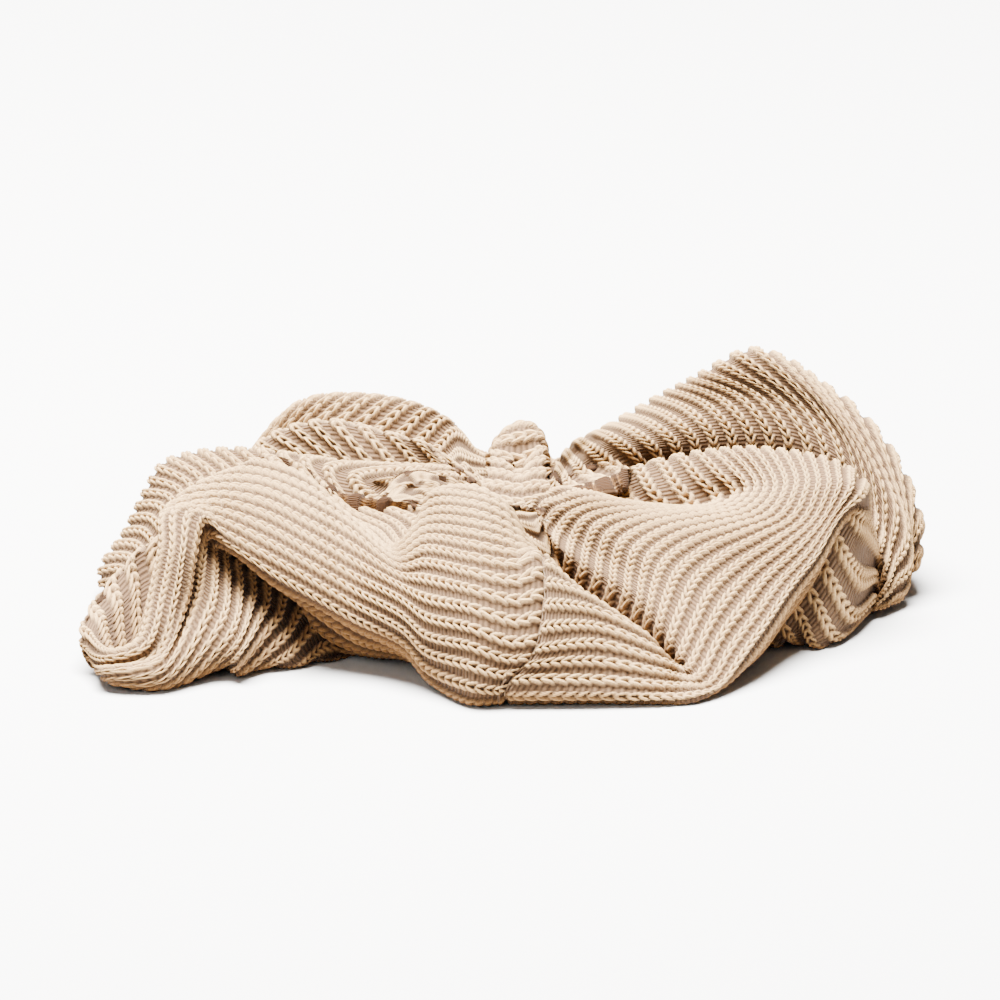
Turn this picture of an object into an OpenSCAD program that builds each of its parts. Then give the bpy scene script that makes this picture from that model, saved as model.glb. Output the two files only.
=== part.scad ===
// Oversized rib-knit scrunchie lying on a flat surface: a knitted tube, closed into a ring and
// gathered on a flat elastic band, so that it stands out around the hub in large soft folds.
// The origin is at the middle of the ring's base, +Z up, -Y is the side with the closing seam.
// The ring opens along Y: the back half slides away from the front half as the elastic stretches.

/* [Hub and hole] */
// Distance of the hub's centre behind the origin
hub_y = 4.6; // [0:0.1:10]
// Distance of the hub's centre to the right of the origin
hub_x = 0.8; // [-5:0.1:5]
// Radius of the open hole that hair goes through
hole_r = 15.5; // [14:0.5:17]
// Outer radius of the gathered hub, where the folds begin
hub_r = 24; // [23.5:0.1:26]
// Height of the gathered hub above the surface
hub_lift = 6; // [4:0.5:8]
// Height of the gathered hub itself
hub_h = 18; // [16:0.5:22]

/* [Elastic] */
// Inner radius of the relaxed elastic band
elastic_r = 19.5; // [18:0.1:20]
// Thickness of the flat elastic band
elastic_t = 1; // [0.6:0.1:1.2]
// Width of the flat elastic band
elastic_w = 8; // [6:0.5:9]
// Angle covered by the overlapped ends of the band
lap_angle = 28; // [16:1:40]
// Width of the thread bar that tacks the overlapped ends
tack_w = 1.2; // [0.8:0.1:2]

/* [Seams] */
// Direction of the closing seam, seen from above
seam_angle = 273; // [262:1:284]
// Thickness of the closing seam, thread and turned-in edge together
seam_t = 0.6; // [0.4:0.1:0.7]
// Radial width of the lengthwise seam allowance inside the hub
side_seam_w = 1.2; // [0.8:0.1:1.4]

/* [Cover] */
// Clear space left where the front half meets the back half
split_gap = 0.4; // [0.3:0.1:1]
// Largest angle between two sections of a fold
section_step = 5; // [4:1:8]
// Number of points round a section of a fold
section_points = 20; // [16:4:28]

/* [Hidden] */
$fn = 96;
clearance = 0.3;
side_seam_h = 1.6;
// Every piece clears the hub by this much, so that flat facets stay outside its round wall
hub_clear = 0.15;
// Half of the angle left open for the closing seam
seam_half = 0.95;
// Height that a section is taken to start below the surface, which flattens its underside
section_sink = 0.16;

cover_colour = [0.87, 0.82, 0.73];
elastic_colour = [0.93, 0.91, 0.86];
thread_colour = [0.80, 0.73, 0.62];

// The outline of the folded cover round the hub:
// direction, reach from the hub's centre, height of the fold, and how far out its ridge is
STATIONS = [
    [  0, 78, 33, 0.52],
    [ 20, 80, 40, 0.55],
    [ 42, 82, 46, 0.58],
    [ 63, 76, 39, 0.55],
    [ 78, 66, 27, 0.45],
    [ 92, 68, 25, 0.45],
    [108, 72, 31, 0.50],
    [128, 76, 33, 0.55],
    [148, 80, 29, 0.50],
    [166, 80, 23, 0.48],
    [182, 77, 21, 0.45],
    [200, 83, 23, 0.45],
    [215, 95, 24, 0.42],
    [228, 90, 26, 0.42],
    [246, 81, 28, 0.42],
    [264, 78, 30, 0.40],
    [280, 79, 30, 0.40],
    [296, 82, 29, 0.45],
    [310, 84, 33, 0.55],
    [326, 80, 34, 0.58],
    [344, 77, 29, 0.52],
    [360, 78, 33, 0.52]
];

// First and last direction of each fold
FRONT_LEFT_SIDE = [180, 202];
FRONT_LEFT_SCOOP = [202, 232];
FRONT_PANEL_LEFT = [232, seam_angle - seam_half];
FRONT_PANEL_RIGHT = [seam_angle + seam_half, 298];
FRONT_RIGHT_FOLD = [298, 334];
FRONT_RIGHT_SIDE = [334, 360];
BACK_RIGHT_SIDE = [0, 27];
BACK_RIGHT_FOLD = [27, 74];
BACK_ROLL = [74, 99];
BACK_LEFT_FOLD = [99, 141];
BACK_LEFT_SIDE = [141, 180];

// a to the power p, keeping its sign, which squares off a round outline
function signed_power(a, p) = sign(a) * pow(abs(a), p);

// Index of the station at or before direction a
function station_before(a, i = 0) =
    (i + 2 >= len(STATIONS) || a < STATIONS[i + 1][0]) ? i : station_before(a, i + 1);

// Reach, height and ridge in direction a, eased from one station to the next
function outline(a) =
    let (
        i = station_before(a),
        from = STATIONS[i],
        to = STATIONS[i + 1],
        ease = (1 - cos(180 * (a - from[0]) / (to[0] - from[0]))) / 2
    )
    [for (k = [1:3]) from[k] + (to[k] - from[k]) * ease];

// The points round a fold's section: [distance from the hub's centre, height]
function fold_section(reach, height, ridge) =
    let (inner = hub_r + hub_clear, width = reach - inner)
    [for (k = [0:section_points - 1])
        let (
            t = 360 * k / section_points,
            across = (1 + signed_power(cos(t), 0.75)) / 2,
            // Bends the round outline so that its top lies over the ridge
            skew = pow(across, ln(ridge) / ln(0.5)),
            up = (1 + signed_power(sin(t), 0.85)) / 2
        )
        [inner + width * skew, height * max(0, up * (1 + section_sink) - section_sink)]];

// One fold of the cover: the sections from direction a to direction b, closed at both ends
module fold(span) {
    steps = ceil((span[1] - span[0]) / section_step);
    sections = [for (s = [0:steps])
        let (a = span[0] + (span[1] - span[0]) * s / steps, o = outline(a))
        [for (p = fold_section(o[0], o[1], o[2])) [p[0] * cos(a), p[0] * sin(a), p[1]]]];
    n = section_points;
    points = [for (section = sections) each section];
    sides = [for (s = [0:steps - 1], k = [0:n - 1])
        let (a = s * n + k, b = s * n + (k + 1) % n)
        each [[a, a + n, b], [b, a + n, b + n]]];
    first_end = [for (k = [0:n - 1]) k];
    last_end = [for (k = [n - 1:-1:0]) steps * n + k];
    polyhedron(points, concat(sides, [first_end, last_end]));
}

// Places the front half's pieces, and the back half's, each half a gap from the line between them
module front_half() {
    translate([hub_x, hub_y - split_gap / 2, 0]) children();
}

module back_half() {
    translate([hub_x, hub_y + split_gap / 2, 0]) children();
}

// Half of a ring with a rectangular section
module half_ring(inner, width, low, height, start) {
    rotate([0, 0, start])
        rotate_extrude(angle = 180)
            translate([inner, low]) square([width, height]);
}

// Half of the gathered hub, hollow along the elastic's channel and the side seam's channel
module hub_gather(start) {
    channel_w = 2 * elastic_t + 3 * clearance;
    rotate([0, 0, start])
        rotate_extrude(angle = 180)
            difference() {
                translate([hole_r, hub_lift]) square([hub_r - hole_r, hub_h]);
                translate([elastic_r - clearance, elastic_low - clearance])
                    square([channel_w, elastic_w + 2 * clearance]);
                translate([side_seam_r - clearance, side_seam_low - clearance])
                    square([side_seam_w + 2 * clearance, side_seam_h + 2 * clearance]);
            }
}

elastic_low = hub_lift + hub_h - elastic_w - 3.4;
side_seam_low = hub_lift + 1.2;
side_seam_r = hub_r - side_seam_w - 3 * clearance;
lap_r = elastic_r + elastic_t + clearance / 3;

module cover_front_left_side() {
    color(cover_colour) front_half() fold(FRONT_LEFT_SIDE);
}

module cover_front_left_scoop() {
    color(cover_colour) front_half() fold(FRONT_LEFT_SCOOP);
}

module cover_front_panel_left() {
    color(cover_colour) front_half() fold(FRONT_PANEL_LEFT);
}

module cover_front_panel_right() {
    color(cover_colour) front_half() fold(FRONT_PANEL_RIGHT);
}

module cover_front_right_fold() {
    color(cover_colour) front_half() fold(FRONT_RIGHT_FOLD);
}

module cover_front_right_side() {
    color(cover_colour) front_half() fold(FRONT_RIGHT_SIDE);
}

module cover_front_gather() {
    color(cover_colour) front_half() hub_gather(180);
}

module cover_back_right_side() {
    color(cover_colour) back_half() fold(BACK_RIGHT_SIDE);
}

module cover_back_right_fold() {
    color(cover_colour) back_half() fold(BACK_RIGHT_FOLD);
}

module cover_back_roll() {
    color(cover_colour) back_half() fold(BACK_ROLL);
}

module cover_back_left_fold() {
    color(cover_colour) back_half() fold(BACK_LEFT_FOLD);
}

module cover_back_left_side() {
    color(cover_colour) back_half() fold(BACK_LEFT_SIDE);
}

module cover_back_gather() {
    color(cover_colour) back_half() hub_gather(0);
}

// The closing seam stands across the front panel from the hub to its outer edge
module closing_seam() {
    o = outline(seam_angle);
    lift = 0.5;
    edge_in = 1;
    color(thread_colour) front_half()
        rotate([90, 0, seam_angle])
            translate([0, 0, -seam_t / 2])
                linear_extrude(seam_t)
                    intersection() {
                        polygon(fold_section(o[0] - edge_in, o[1] - edge_in, o[2]));
                        translate([0, lift]) square([o[0], o[1]]);
                    }
}

module side_seam_front() {
    color(thread_colour) front_half()
        half_ring(side_seam_r, side_seam_w, side_seam_low, side_seam_h, 180);
}

module side_seam_back() {
    color(thread_colour) back_half()
        half_ring(side_seam_r, side_seam_w, side_seam_low, side_seam_h, 0);
}

module elastic_front() {
    color(elastic_colour) front_half()
        half_ring(elastic_r, elastic_t, elastic_low, elastic_w, 180);
}

module elastic_back() {
    color(elastic_colour) back_half()
        half_ring(elastic_r, elastic_t, elastic_low, elastic_w, 0);
}

// The end of the band that lies over the other end
module elastic_lap() {
    color(elastic_colour) front_half()
        rotate([0, 0, seam_angle - lap_angle / 2])
            rotate_extrude(angle = lap_angle)
                translate([lap_r, elastic_low]) square([elastic_t, elastic_w]);
}

// The bar of thread on the outside of the lap
module elastic_tack() {
    tack_t = 0.25;
    inset = 1;
    color(thread_colour) front_half()
        rotate([0, 0, seam_angle])
            translate([lap_r + elastic_t, -tack_w / 2, elastic_low + inset])
                cube([tack_t, tack_w, elastic_w - 2 * inset]);
}

cover_front_left_side();
cover_front_left_scoop();
cover_front_panel_left();
cover_front_panel_right();
cover_front_right_fold();
cover_front_right_side();
cover_front_gather();
cover_back_right_side();
cover_back_right_fold();
cover_back_roll();
cover_back_left_fold();
cover_back_left_side();
cover_back_gather();
closing_seam();
side_seam_front();
side_seam_back();
elastic_front();
elastic_back();
elastic_lap();
elastic_tack();
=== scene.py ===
"""Oversized rib-knit scrunchie, lying on a pale floor. +Z is up, and the closing seam is on the -Y side."""
import math

import bmesh
import bpy
import numpy as np
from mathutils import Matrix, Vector
from mathutils.bvhtree import BVHTree


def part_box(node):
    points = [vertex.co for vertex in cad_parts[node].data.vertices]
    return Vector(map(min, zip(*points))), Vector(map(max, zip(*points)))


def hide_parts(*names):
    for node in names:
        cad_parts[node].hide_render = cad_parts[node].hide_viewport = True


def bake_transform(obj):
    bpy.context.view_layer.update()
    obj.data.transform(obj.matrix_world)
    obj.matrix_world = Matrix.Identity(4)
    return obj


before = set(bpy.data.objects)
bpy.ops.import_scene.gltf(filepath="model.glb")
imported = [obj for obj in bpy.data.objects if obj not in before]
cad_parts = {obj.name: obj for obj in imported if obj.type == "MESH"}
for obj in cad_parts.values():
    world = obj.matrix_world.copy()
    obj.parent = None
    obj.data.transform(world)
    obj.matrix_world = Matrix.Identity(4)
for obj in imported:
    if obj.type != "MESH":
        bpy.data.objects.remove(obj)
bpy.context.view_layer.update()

MM = 0.001

# ---------------------------------------------------------------- driving sizes, in millimetres
# the hub: the gathered inner side of the tube, round the hair hole
HUB_X, HUB_Y = 0.8, 4.6
HUB_R = 17.0
HUB_TOP, HUB_BOTTOM = 20.0, 7.0
WALL_SWELL = 1.5
LIP_R = 10.5
FLAP_R, FLAP_DROP = 4.0, 2.0
OVER_R, OVER_Z = 20.3, 22.3
# guide points this near to the hub and this low would run into the elastic, unless they are over the hole
NEAR_R, LOW_Z, HOLE_R = 21.3, 21.0, 14.0
PLEATS, PLEAT_DEPTH = 31, 0.4
PLEAT_START, PLEAT_FADE = 25.0, 7.0
# the knit
RIBS, RIB_PITCH, STITCH = 38, 4.0, 1.75
POINTS_PER_RIB, ROWS_PER_STITCH = 18, 6
LADDER_LOW, BAR_HEIGHT, BAR_START = -0.78, 0.1, 0.31
LEG_START, LEG_SLOPE, LEG_REACH, LEG_HALF = 0.045, 0.17, 1.3, 0.09
LEG_LIFT, LEG_ROUND, LEG_TUCK_IN, LEG_TUCK_OUT = 0.12, 0.26, 0.36, 0.55
RIB_TOP, RIB_FALL, RIB_EDGE, RIB_SLOPE = 0.12, 0.85, 0.26, 0.12
RELIEF_MIDDLE = 0.25
FULL_BREADTH, RELIEF_GAIN, LEAST_RELIEF = 3.6, 1.1, 0.15
LOWEST, HEIGHT_RANGE = -0.83, 1.21
GROOVE_WIDTH, GROOVE_DEPTH, SEAM_DEPTH, SEAM_SHADE = 0.4, 0.7, 0.85, 0.15
FLOOR_GAP, FLOOR_RELIEF = 0.15, 0.1
COARSE_ALONG, COARSE_ROUND = 360, 152
# shelter from the light, painted as shade into the yarn's colour: rays to each side, and the light that
# comes from the side and from below
RAYS, RAY_REACH, RAY_START = 30, 45.0, 0.9
GOLDEN_TURN = 2.399963
SIDE_LIGHT, LOW_LIGHT, CLOSE_LIGHT = 0.25, 0.1, 0.6
# elastic and threads
SEAM_ANGLE = 273
ELASTIC_THICK = 1.0
ELASTIC_CORDS, BAND_FACES, BRAID_PITCH = 6, 25, 2.2
CORD_SWELL, BRAID_SWELL, BAND_INSET = 0.07, 0.03, 0.12
BAND_EDGE = 0.15
LAP_GAP = 0.05
SEAM_THREAD_R, SEAM_WHIP, SEAM_WHIP_PITCH, SEAM_STEP, SEAM_LOWEST = 0.14, 0.1, 2.4, 0.3, 0.4
SIDE_STITCHES, SIDE_STEPS, SIDE_THREAD_R, SIDE_INSET, EDGE_INSET = 30, 900, 0.16, 0.2, 0.18
TACK_STITCHES, TACK_STEPS, TACK_WIDTH, TACK_THREAD_R = 9, 240, 1.2, 0.13
TACK_INSET, TACK_SINK = 0.15, 0.02

# Each line runs across the folded tube, at right angles to its ribs: from the hub over the upper side to
# the outer edge, then back to the hub underneath. They go round the ring to the right from the seam.
# A fourth number says which rib passes through that point; ribs are spread evenly between those.
ACROSS = [
    # closing seam
    ([(3.5, -22, 20.5), (6, -32, 20), (7.3, -42, 21), (7.7, -48.5, 24, 11.8), (7.9, -53, 23),
      (8, -58, 19.5), (7.5, -62.5, 15.8), (6.5, -67, 11.5, 16.2), (5, -69.5, 9), (2, -71.5, 6.3),
      (0.5, -73, 3.5), (0.5, -71.5, 1, 20)],
     [(1, -60, 0.5), (3, -35, 2)]),
    # front panel, right of the seam
    ([(5, -18.5, 21.7), (9, -24, 15.5), (12.5, -31, 8.8), (15, -41, 6.5), (16.2, -48, 10.5),
      (16.8, -52, 16.3, 12.8), (17, -55.5, 16.9), (17.5, -60, 14.3), (17.5, -65.5, 10), (17, -70, 5.5),
      (16.5, -72.5, 3), (16.5, -71, 1, 20)],
     [(15, -58, 0.5), (9, -34, 2)]),
    ([(6.4, -18.2, 21.5), (10.3, -23, 14), (15, -29.5, 7.8), (20, -38, 4), (23.7, -46, 3.6),
      (26, -50.5, 7.5), (27, -54, 9.8, 14), (28.5, -58.5, 8.5), (29.5, -64, 5.8), (29.5, -69, 3.2),
      (29, -71.5, 1.8), (28.5, -71, 0.8, 20)],
     [(24, -57, 0.5), (13, -33, 2)]),
    # crease at the right end of the front panel
    ([(7.4, -17.4, 21.6), (10.5, -21.5, 14.5), (14, -27, 8.7), (20, -35, 4.5), (26, -43.5, 3),
      (31, -51, 3, 14.6), (33, -56, 4.2), (34, -62, 3.2), (35.5, -67.5, 2.2), (36, -70.5, 0.9, 20)],
     [(29, -56, 0.4), (16, -32, 2)]),
    # front right fold: its face
    ([(3.5, -9, 21.5, 2), (6.5, -15, 22.3, 3.5), (8.8, -20, 19, 5), (13.9, -25, 15.3, 7),
      (19.2, -31, 13.1, 9), (24.6, -38, 11.5, 11), (28.4, -45, 9.6, 13), (33.7, -55, 5.8, 15.5),
      (38.5, -63, 3.2, 18), (42, -64.5, 2.2, 20)],
     [(36, -55, 0.5), (19, -31, 2)]),
    ([(5.5, -8.5, 22.5, 2.3), (9.5, -15.5, 20, 5), (14.7, -21, 18, 7), (19.8, -26.5, 16.2, 9),
      (25.3, -33, 15, 11), (30, -39, 14.2, 13), (37, -47, 11, 15.5), (42.5, -53.5, 7.8, 18),
      (47, -56, 5.8, 20)],
     [(44, -50, 1), (22, -28, 2)]),
    ([(7, -6.5, 23.4, 2.3), (11.2, -12, 23.5, 4), (17, -18.5, 21.6, 7), (21.7, -23.5, 20, 9),
      (27, -29, 18.8, 11), (32.4, -34, 17.6, 13), (40, -40, 14.7, 15.5), (47, -45.5, 11.5, 18),
      (51, -48, 9.3, 20)],
     [(48, -44, 2), (40, -36, 0.5), (22, -22, 3)]),
    ([(9.5, -5, 23.8, 2.2), (16.6, -11, 24.4, 4), (22.7, -16, 22.8, 7), (27.6, -20, 22.2, 9),
      (32.8, -25, 21.6, 11), (38, -29, 20.4, 13), (45.5, -33.5, 17.8, 15.5), (51.5, -37, 15.3, 18),
      (55.5, -38.5, 13.5, 20)],
     [(52, -35, 5), (46, -31, 0.5), (25, -16, 3)]),
    ([(14, -3.5, 22.5, 2.3), (24.2, -8, 22.5, 4.3), (30.9, -12, 22.3, 7), (35.6, -16, 22.6, 9),
      (40.4, -20.5, 22.3, 11), (45.1, -24.5, 21.9, 13), (51.8, -28, 20.5, 15.5), (57.2, -30, 19.1, 18),
      (60.4, -30.5, 18, 20)],
     [(57, -28, 9), (52, -28, 1.5), (44, -22, 0.5), (25, -10, 3)]),
    # the fan at the right end of the hollow
    ([(26, -2, 19.5, 3.6), (33.7, -5, 20.5, 5.2), (39.4, -9, 21.8, 7), (43.2, -12.5, 22.6, 9),
      (47.4, -17, 23.3, 11), (51.8, -20, 23.4, 13), (57.5, -22, 23.2, 15.5), (61.9, -22.5, 23.3, 18),
      (64.5, -21.5, 23, 20)],
     [(60, -23, 14), (55, -27, 6), (50, -29, 1, 26), (30, -12, 1), (22, -5, 3)]),
    ([(26, 0, 18.5, 3.4), (34, -0.5, 19, 5), (40.4, -1, 21, 6.3), (44.8, -4, 23.1, 7.6),
      (47.4, -8, 24.7, 9), (50.9, -12, 25.8, 11), (54.7, -14.5, 26.8, 13), (60, -16, 27.5, 15.5),
      (65, -15.5, 27.3, 18), (68.5, -14.5, 25, 19.7)],
     [(64.2, -19, 20.7, 21), (61.3, -22.5, 17.6, 22), (58, -25.5, 13.9, 23), (54, -30, 9.6, 24.5),
      (50, -33, 4.5, 26), (47.5, -31.5, 0.9, 27.5), (30, -11, 1), (22, -3, 3)]),
    ([(17, 4, 20, 2), (23, 4, 19.5, 3.2), (28, 3, 21.8, 4.4), (35.6, 3, 23.6, 6), (41.7, 1, 25.7, 7.6),
      (46.1, -1.5, 26.7, 9), (50, -5, 27.7, 11), (54.7, -8, 28.5, 13), (60, -10, 29, 15.5),
      (65, -10, 28.5, 18), (69.5, -10.5, 25.5, 19.7)],
     [(66.5, -19, 16.4, 21), (63.8, -24, 12.8, 22), (60.8, -28, 9.4, 23), (56.6, -31.5, 5.5, 24.5),
      (53, -33.5, 1.4, 26), (48, -29, 0.6, 27.5), (32, -9, 1), (23, 0, 3)]),
    # far ridge of the front right fold
    ([(16, 6.5, 21.5, 2.2), (20.8, 7, 23.2, 3.3), (27, 9, 25.2, 4.8), (35.6, 9.5, 27.2, 7),
      (41, 9, 28.1, 9), (46, 7, 29, 11), (51.8, 4, 29.5, 13), (58.5, 0, 29.5, 15.5), (65, -3, 28, 18),
      (70, -6.5, 24, 19.7)],
     [(69.3, -14, 17, 20.6), (68.4, -18, 10.7, 21.3), (67, -23, 5.2, 22.2), (64.2, -29, 2, 23.2),
      (60.4, -32.5, 0.7, 24.2), (53, -26, 0.5, 26.5), (36, -5, 1), (24, 3, 3)]),
    # deep valley behind it
    ([(19.5, 10.5, 20), (27, 14, 20), (36, 15.5, 20, 7), (46, 14, 20, 11), (56, 9, 19, 15), (65, 3, 17, 18),
      (71, -2, 13, 20)],
     [(71, -8, 7, 21.5), (69.5, -15, 2.5, 23), (64, -20, 0.6, 24.7), (38, -1, 1), (25, 5, 3)]),
    ([(17.5, 11.5, 15), (26, 16, 19, 4.6), (36, 17.5, 15, 7.5), (48, 16, 11.5, 11), (58, 11, 10.5, 14.5),
      (66, 5, 9, 17.5), (71, -2, 6.5, 20)],
     [(71.5, -8, 4, 22), (69, -12, 1.2, 24), (58, -7, 0.5), (38, 4, 1), (25, 8, 3)]),
    ([(17.5, 13, 19), (27, 17, 21, 5), (42, 20, 20, 10), (54, 18, 20, 13.5), (64, 11, 18, 16.5),
      (69, 6, 15.5, 18), (71.5, -1, 12, 20), (73, -6, 8, 21.5), (73, -10, 4.5, 23)],
     [(70, -11, 1.2, 25), (57, -2, 0.5), (38, 8, 1), (25, 10, 3)]),
    # tall back right fold, up its face and over its ridge
    ([(17, 14, 23, 3.8), (23.2, 16, 25.6, 5.2), (33.3, 19.5, 26.3, 7.5), (42.3, 21, 27, 10),
      (54.7, 19.5, 27.2, 13.5), (65, 14, 23.8, 16.5), (69, 9.5, 19.6, 18), (72.2, 5, 15, 20),
      (74, 0, 10.5, 21.5), (75, -4, 6.7, 23), (74, -7.5, 2, 24.5)],
     [(70, -4, 0.5), (57, 6, 2), (38, 13, 3), (25, 13, 5)]),
    ([(11, 10.5, 22, 2), (14, 15.5, 25.5, 3.8), (19, 17.5, 28.2, 5.2), (28.4, 22, 29.8, 7.5),
      (37.9, 25, 31.8, 10), (49, 25.5, 33.8, 13.5), (61.3, 21, 31, 16.5), (66, 17, 27.6, 18),
      (70.5, 13, 23.6, 20), (75, 8, 18, 21.5), (78, 3, 10.6, 23), (77, -1, 3.5, 24.5)],
     [(72, 2, 0.5), (58, 13, 6), (38, 19, 7), (24, 17, 6)]),
    ([(9.6, 10, 20.8, 1.4), (10.4, 14, 23.8, 2.6), (12.8, 18, 26.2, 4), (16.6, 21, 27.6, 5.4),
      (23.8, 27, 29.9, 7.5), (31, 30, 33.3, 10), (38.5, 31, 37, 13.5), (48, 31, 41.5, 16.2),
      (55.6, 30, 39.3, 18), (61, 27.5, 36, 20), (67, 24, 32.6, 21.5), (73.7, 18, 26.6, 23),
      (78.5, 12, 18.5, 24.5), (80, 6, 10, 26), (77, 3.5, 2.5, 27)],
     [(70, 9, 0.5), (57, 22, 10), (38, 26, 11), (23, 20, 7)]),
    ([(12, 21, 22, 3.8), (16.5, 28, 22.5, 5.6), (24, 35, 26.5, 7.5), (32, 39, 29.5, 10.5), (41, 41, 33, 14),
      (50, 41, 34.5, 16.5), (58, 39, 31.5, 18.5), (65, 34.5, 27, 20.5), (71, 29, 21, 22),
      (76.5, 23, 13.5, 24), (78, 18, 6, 25.5), (75, 16, 1.2, 26.5)],
     [(66, 20, 0.5), (50, 27, 3), (34, 28, 6), (21, 23, 6)]),
    ([(11, 23, 17, 3), (17, 34, 17, 6), (26, 44, 19, 9), (36, 50, 21, 12), (46, 52, 21, 15),
      (56, 49.5, 19, 18), (64, 45, 15, 20), (70, 39.5, 10.5, 22), (73.5, 34, 5, 23.5), (72, 31, 1.2, 24.5)],
     [(62, 31, 0.5), (45, 33, 1), (28, 30, 4)]),
    # low back edge
    ([(10, 24, 13), (19, 40, 11), (30, 54, 13), (42, 62, 12), (52, 62.5, 7), (56, 60, 2.5),
      (54, 57, 1, 23)],
     [(45, 52, 0.5), (30, 42, 1), (18, 32, 3)]),
    ([(9, 24.5, 15), (16, 42, 13), (26, 58, 14), (37, 68.5, 10), (42, 71, 5), (41, 68.5, 1, 21.5)],
     [(32, 58, 0.5), (22, 45, 1), (14, 33, 3)]),
    ([(7.5, 25.5, 14), (12, 42, 11), (18, 58, 11), (24, 69, 7), (25, 71, 4), (24, 69, 1, 20.5)],
     [(19, 56, 0.5), (14, 44, 1), (10, 33, 3)]),
    ([(7.5, 26, 11), (10.5, 38, 8), (13, 52, 6), (15, 64, 5), (15.5, 66, 3), (15, 64, 1, 20)],
     [(12, 53, 0.5), (10, 42, 1), (8, 33, 3)]),
    # upright roll at the back
    ([(10, 2, 19.8), (9, 12, 22.8), (8.9, 22, 22.7), (8.8, 29, 17), (8.8, 36, 15), (9, 48, 12), (9, 57, 8),
      (9, 62, 4), (8.8, 60, 1, 20)],
     [(7, 50, 0.5), (6, 41, 1), (5, 33, 3)]),
    ([(7, -1.5, 19.8), (6.2, 6, 23), (5.9, 13, 24.3), (6.9, 19, 25.2), (7.5, 25, 26.4), (7.2, 36, 22.5),
      (6.6, 46, 17.5), (6, 56, 11), (5.5, 62, 5), (5.5, 61, 1, 20)],
     [(5, 50, 0.7), (5, 41, 1.5), (4.5, 33, 3)]),
    ([(3, -4, 19.6), (3, 5, 22.8), (3, 13, 22.8), (3.1, 17, 22.2), (3.2, 22.5, 27), (3.2, 28, 28),
      (3.2, 36, 24), (3.1, 48, 17), (3, 61, 7), (3, 61, 1, 20)],
     [(3, 50, 1), (3, 41, 4), (3, 33, 4)]),
    ([(-1.5, -2, 19.8), (-0.4, 6, 22.8), (0.2, 13, 23.8), (-0.8, 19, 24.4), (-1.6, 25, 25), (-1.4, 36, 21),
      (-0.8, 46, 16.5), (0, 56, 10.5), (0.6, 62, 5), (0.6, 61, 1, 20)],
     [(1, 50, 0.7), (1, 41, 1.5), (1.5, 33, 3)]),
    ([(-5.5, 1.5, 19.8), (-3, 11, 22.8), (-2.8, 22, 22.7), (-3, 29, 16.5), (-3.2, 36, 14.5), (-3.2, 48, 12),
      (-3.2, 57, 8), (-3.2, 62, 4), (-3, 60, 1, 20)],
     [(-2, 50, 0.5), (-1, 41, 1), (0, 33, 3)]),
    ([(-2, 22, 12), (-5.5, 36, 8), (-8, 52, 7), (-10, 64, 6), (-10.5, 67, 3), (-10.5, 65, 1, 20)],
     [(-8, 53, 0.5), (-5, 42, 1), (-3, 33, 3)]),
    # back left fold: its ridge, the hollow along its top and its lower ridge
    ([(-3, 25.5, 16), (-8, 36, 14.5), (-14, 50, 14), (-20, 64, 9), (-22, 69, 4), (-22, 67, 1, 20)],
     [(-17, 54, 0.5), (-11, 42, 1), (-6, 33, 3)]),
    ([(-4, 25, 20), (-10, 33, 24), (-18, 42, 24.5), (-28, 52, 21), (-36, 60, 12), (-39, 63, 4.5),
      (-37, 61, 1, 20)],
     [(-28, 50, 0.5), (-18, 40, 1), (-9, 32, 3)]),
    ([(-4.6, 23, 20.5, 4), (-9.5, 29.5, 26.8, 6.5), (-16, 34, 29.6, 8.8), (-29, 40, 30.2, 12.4),
      (-39, 44, 27.5, 15.2), (-47, 47, 17, 18.5), (-52, 48, 6, 21.5), (-51, 46, 1, 23)],
     [(-42, 41, 0.5), (-26, 34, 3), (-13, 28, 5)]),
    ([(-5.5, 21, 19, 3.7), (-12, 25, 22.5, 5.7), (-21, 29, 24, 8), (-32, 33, 24.5, 10.5),
      (-42, 38, 22, 13.2), (-51, 41, 13.5, 16.7), (-55, 42, 5, 19.5), (-54, 41, 1, 21)],
     [(-44, 37, 0.5), (-27, 30, 3), (-14, 25, 5)]),
    ([(-7, 19, 20, 3.2), (-14, 21.5, 25, 4.8), (-24.4, 26, 27, 6.8), (-34, 29, 28, 8.6),
      (-45, 34, 23.5, 11.6), (-54, 37, 13, 15.5), (-58, 37, 4, 18.5), (-57, 36, 1, 20)],
     [(-46, 32, 0.5), (-29, 26, 3), (-15, 22, 5)]),
    ([(-8, 18, 18), (-15, 18.5, 20), (-25, 20, 21), (-36, 23.5, 21.5), (-48, 28, 18), (-57, 30, 11),
      (-62, 30, 4), (-61, 29, 1, 20)],
     [(-50, 25, 0.5), (-32, 20, 3), (-17, 17, 5)]),
    ([(-9.5, 16, 15), (-17, 15.5, 15.5), (-27, 17, 15.5), (-38, 20, 16), (-51, 25, 15.5), (-61, 25.5, 10),
      (-67, 24, 4), (-66, 23, 1, 20)],
     [(-54, 18, 0.5), (-35, 14, 2), (-19, 12, 4)]),
    # pale left fold: its ridge, its face and the hollow below it
    ([(-17.5, 10, 19.5), (-21.5, 11, 21.2, 3), (-31, 14, 22.7, 4.8), (-38.7, 18, 24.2, 6.5),
      (-48.2, 22, 24.4, 8.7), (-57.7, 24, 23.4, 11.3), (-65.3, 22, 21.6, 13.8), (-68.7, 19, 16.9, 16),
      (-72.5, 14, 10.4, 19), (-76.8, 7, 4.3, 22), (-75, 4, 1, 24)],
     [(-62, 8, 0.5), (-40, 8, 1), (-21, 8, 3)]),
    ([(-15.5, 8, 17.5), (-19.5, 7, 17, 3), (-27, 6.5, 17, 4.5), (-33, 8, 19, 6), (-38.7, 10, 21.5, 7.5),
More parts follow.
